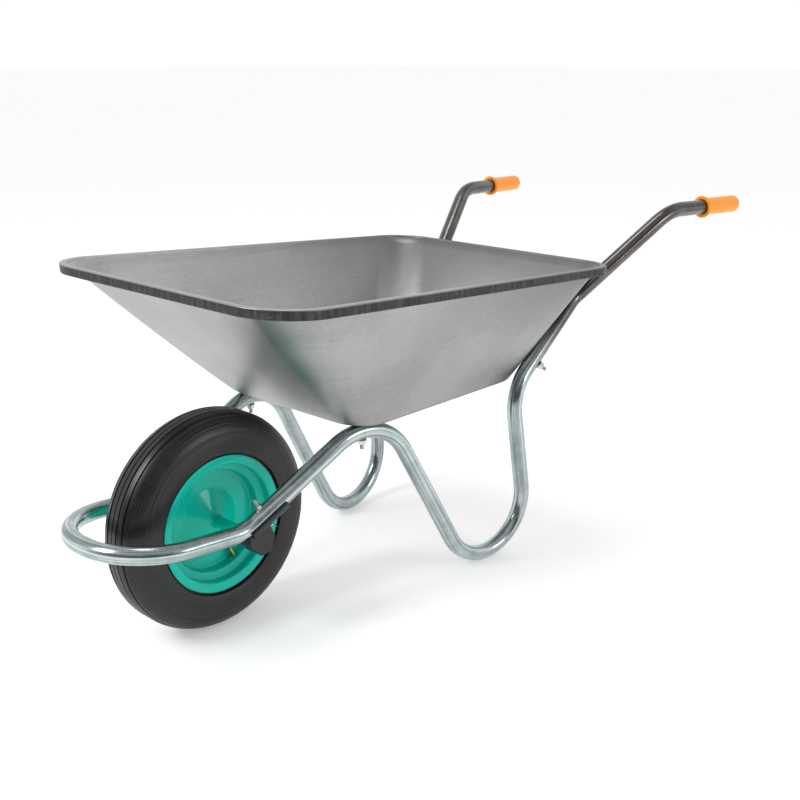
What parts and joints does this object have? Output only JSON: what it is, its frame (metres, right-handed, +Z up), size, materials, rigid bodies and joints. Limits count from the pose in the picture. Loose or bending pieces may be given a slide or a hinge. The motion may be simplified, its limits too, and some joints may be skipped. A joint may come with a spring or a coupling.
{
  "type": "wheelbarrow",
  "caption": "Single-wheel garden wheelbarrow: flared sheet tray on one continuous bent tube frame with splayed U-shaped legs, a pneumatic wheel in front and plastic grips.",
  "frame": {"origin": "on the floor, under the middle of the overall length and width", "axes": "+X from the wheel to the handles, +Y to the right of the person pushing, +Z up"},
  "size_m": [1.4615, 0.6232, 0.6548],
  "materials": {
    "tray_steel": "satin galvanised sheet",
    "tube_steel": "galvanised tube with drawn streaks",
    "zinc": "bright zinc plated",
    "grip_plastic": "soft satin",
    "block_plastic": "moulded",
    "rim_paint": "glossy paint",
    "tyre": "moulded rubber",
    "tube_rubber": "matt",
    "brass": "turned"
  },
  "bodies": {
    "chassis": {"tray": "tray_steel", "frame_tube": "tube_steel", "grip_left": "grip_plastic", "grip_right": "grip_plastic", "axle_block_left": "block_plastic", "axle_block_right": "block_plastic", "bolt_front_left": "zinc", "bolt_front_right": "zinc", "bolt_rear_left": "zinc", "bolt_rear_right": "zinc", "washer_front_left": "zinc", "washer_front_right": "zinc", "washer_rear_left": "zinc", "washer_rear_right": "zinc", "nut_front_left": "zinc", "nut_front_right": "zinc", "nut_rear_left": "zinc", "nut_rear_right": "zinc", "block_bolt_left": "zinc", "block_bolt_right": "zinc", "block_washer_left": "zinc", "block_washer_right": "zinc", "block_nut_left": "zinc", "block_nut_right": "zinc"},
    "wheel": {"tyre": "tyre", "inner_tube": "tube_rubber", "rim_left": "rim_paint", "rim_right": "rim_paint", "axle": "rim_paint", "valve_stem": "brass", "valve_cap": "block_plastic"}
  },
  "joints": [
    {"name": "wheel_spin", "type": "hinge", "parent": "chassis", "child": "wheel", "pos_m": [-0.47517, 0, 0.19], "axis": [0, 1, 0], "continuous": true}
  ]
}
